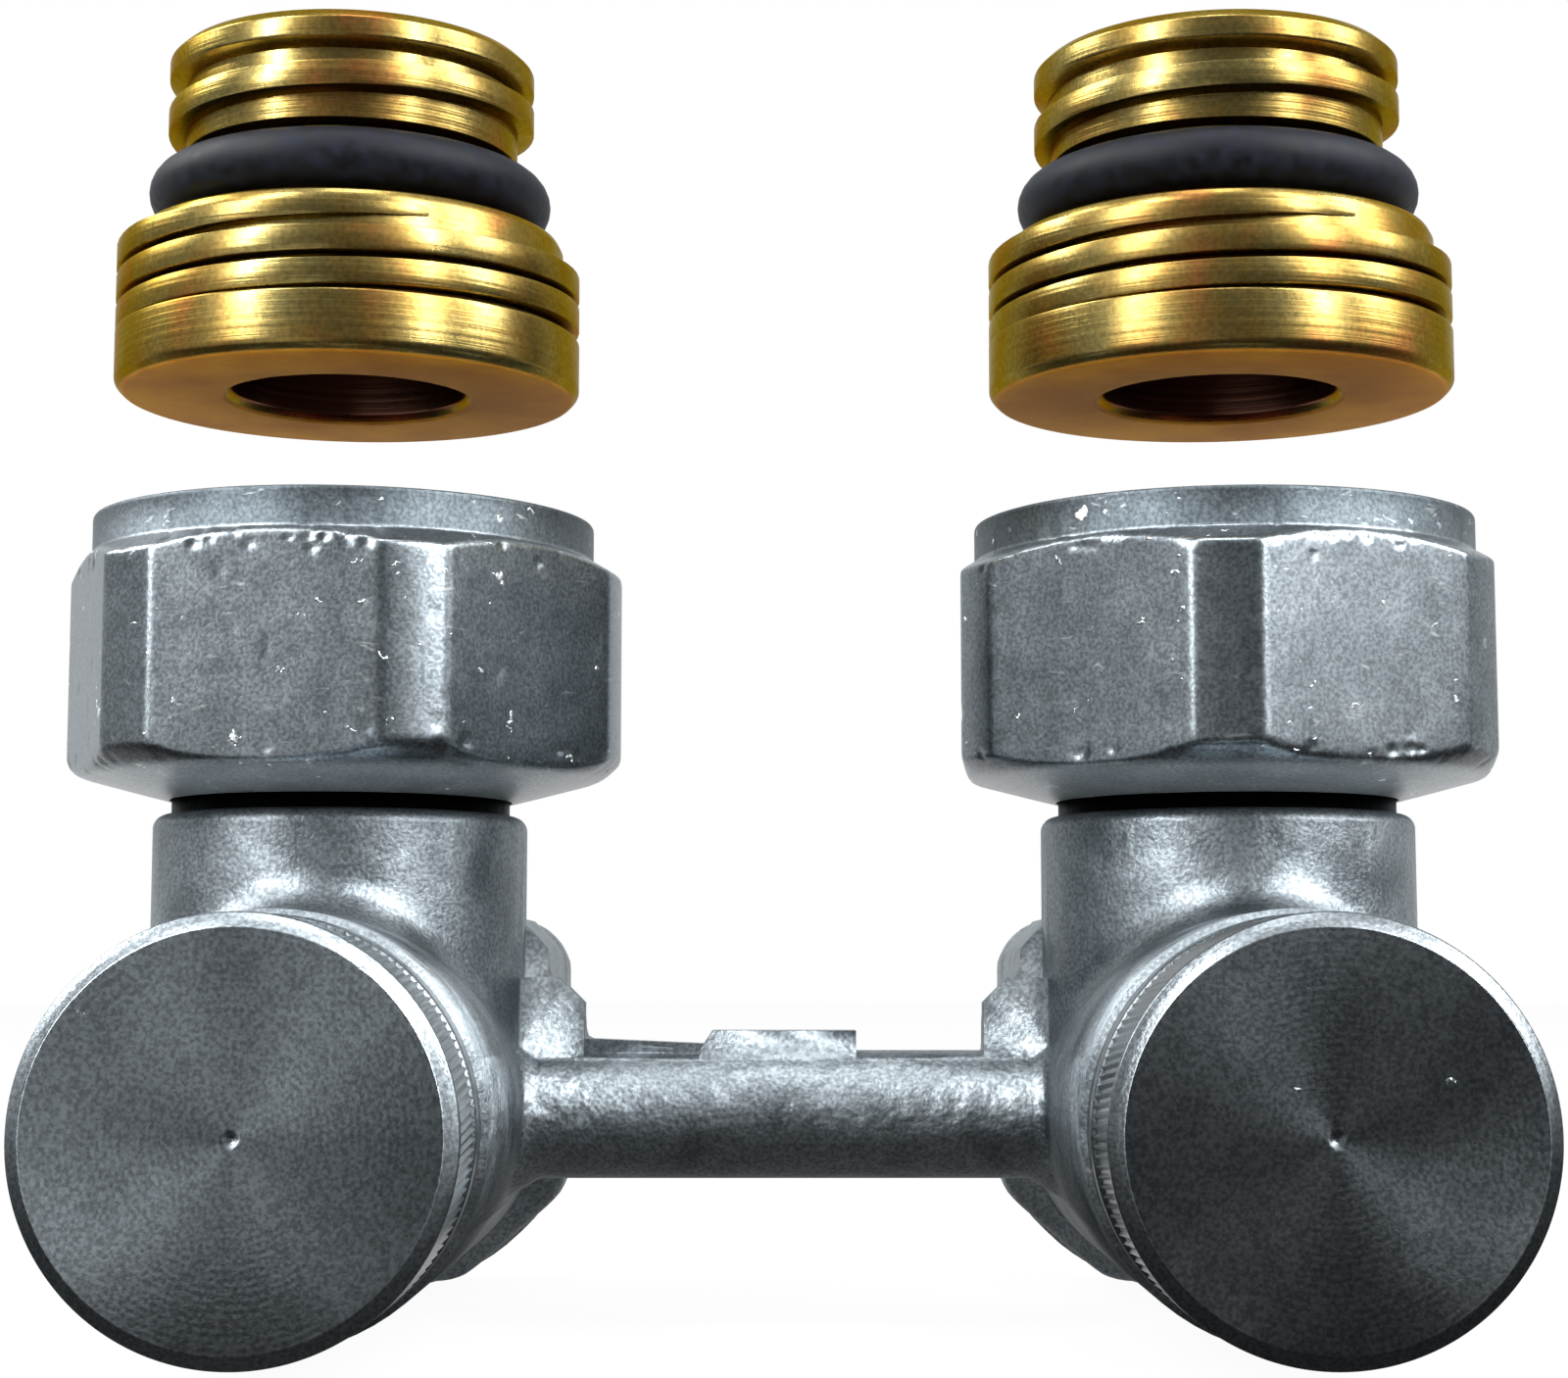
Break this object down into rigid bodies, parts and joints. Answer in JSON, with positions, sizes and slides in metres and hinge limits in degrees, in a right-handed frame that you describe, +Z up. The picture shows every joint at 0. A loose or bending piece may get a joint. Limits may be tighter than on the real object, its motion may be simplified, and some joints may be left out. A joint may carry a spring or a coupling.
{
  "type": "radiator h-block valve",
  "caption": "Angled double shut-off valve block in one forging, with blanking caps, union nuts and stepped threaded nipples that join it to a radiator.",
  "frame": {"origin": "under the middle of the valve, level with the lowest line of the two pipe threads", "axes": "+X from the left neck to the right neck, +Y from the caps to the pipes, +Z up the necks to the radiator"},
  "size_m": [0.081, 0.0596, 0.0721],
  "materials": {
    "plated_forging": "nickel plated, satin",
    "plated_nut": "nickel plated, satin",
    "plated_cap": "nickel plated, turned",
    "turned_brass": "raw, matte",
    "inner_brass": "turned",
    "black_rubber": "matte",
    "fibre_gasket": "fibre, matte",
    "spring_steel": "plain"
  },
  "bodies": {
    "base": {"valve_body": "plated_forging", "nut_snap_ring_left": "spring_steel", "flat_gasket_left": "fibre_gasket", "bonnet_left": "inner_brass", "bonnet_o_ring_left": "black_rubber", "spindle_o_ring_left": "black_rubber", "nut_snap_ring_right": "spring_steel", "flat_gasket_right": "fibre_gasket", "bonnet_right": "inner_brass", "bonnet_o_ring_right": "black_rubber", "spindle_o_ring_right": "black_rubber"},
    "nut_left": {"union_nut_left": "plated_nut"},
    "nipple_left": {"nipple_left": "turned_brass", "nipple_o_ring_left": "black_rubber"},
    "cap_seal_left": {"cap_seal_left": "fibre_gasket"},
    "cap_left": {"cap_left": "plated_cap"},
    "disc_left": {"valve_disc_left": "inner_brass", "disc_seal_left": "black_rubber"},
    "spindle_left": {"spindle_left": "inner_brass"},
    "nut_right": {"union_nut_right": "plated_nut"},
    "nipple_right": {"nipple_right": "turned_brass", "nipple_o_ring_right": "black_rubber"},
    "cap_seal_right": {"cap_seal_right": "fibre_gasket"},
    "cap_right": {"cap_right": "plated_cap"},
    "disc_right": {"valve_disc_right": "inner_brass", "disc_seal_right": "black_rubber"},
    "spindle_right": {"spindle_right": "inner_brass"}
  },
  "joints": [
    {"name": "nut_spin_left", "type": "hinge", "parent": "base", "child": "nut_left", "pos_m": [-0.025, 0.00125, 0.0371], "axis": [0, 0, 1], "continuous": true},
    {"name": "nipple_slide_left", "type": "slide", "parent": "base", "child": "nipple_left", "axis": [0, 0, 1], "range_m": [-0.0143, 0]},
    {"name": "cap_travel_left", "type": "slide", "parent": "base", "child": "cap_seal_left", "axis": [0, -1, 0], "range_m": [0, 0.00601]},
    {"name": "cap_turn_left", "type": "hinge", "parent": "cap_seal_left", "child": "cap_left", "pos_m": [-0.025, -0.025, 0.012], "axis": [0, -1, 0], "range_deg": [0, 2160]},
    {"name": "disc_travel_left", "type": "slide", "parent": "base", "child": "disc_left", "axis": [0, 1, 0], "range_m": [0, 0.00301]},
    {"name": "spindle_turn_left", "type": "hinge", "parent": "disc_left", "child": "spindle_left", "pos_m": [-0.025, -0.012, 0.012], "axis": [0, 1, 0], "range_deg": [0, 1080]},
    {"name": "nut_spin_right", "type": "hinge", "parent": "base", "child": "nut_right", "pos_m": [0.025, 0.00125, 0.0371], "axis": [0, 0, 1], "continuous": true},
    {"name": "nipple_slide_right", "type": "slide", "parent": "base", "child": "nipple_right", "axis": [0, 0, 1], "range_m": [-0.0143, 0]},
    {"name": "cap_travel_right", "type": "slide", "parent": "base", "child": "cap_seal_right", "axis": [0, -1, 0], "range_m": [0, 0.00601]},
    {"name": "cap_turn_right", "type": "hinge", "parent": "cap_seal_right", "child": "cap_right", "pos_m": [0.025, -0.025, 0.012], "axis": [0, -1, 0], "range_deg": [0, 2160]},
    {"name": "disc_travel_right", "type": "slide", "parent": "base", "child": "disc_right", "axis": [0, 1, 0], "range_m": [0, 0.00301]},
    {"name": "spindle_turn_right", "type": "hinge", "parent": "disc_right", "child": "spindle_right", "pos_m": [0.025, -0.012, 0.012], "axis": [0, 1, 0], "range_deg": [0, 1080]}
  ],
  "couplings": [
    {"joint": "cap_travel_left", "follows": "cap_turn_left", "m_per_rad": 0.00015915},
    {"joint": "disc_travel_left", "follows": "spindle_turn_left", "m_per_rad": 0.00015915},
    {"joint": "cap_travel_right", "follows": "cap_turn_right", "m_per_rad": 0.00015915},
    {"joint": "disc_travel_right", "follows": "spindle_turn_right", "m_per_rad": 0.00015915}
  ]
}
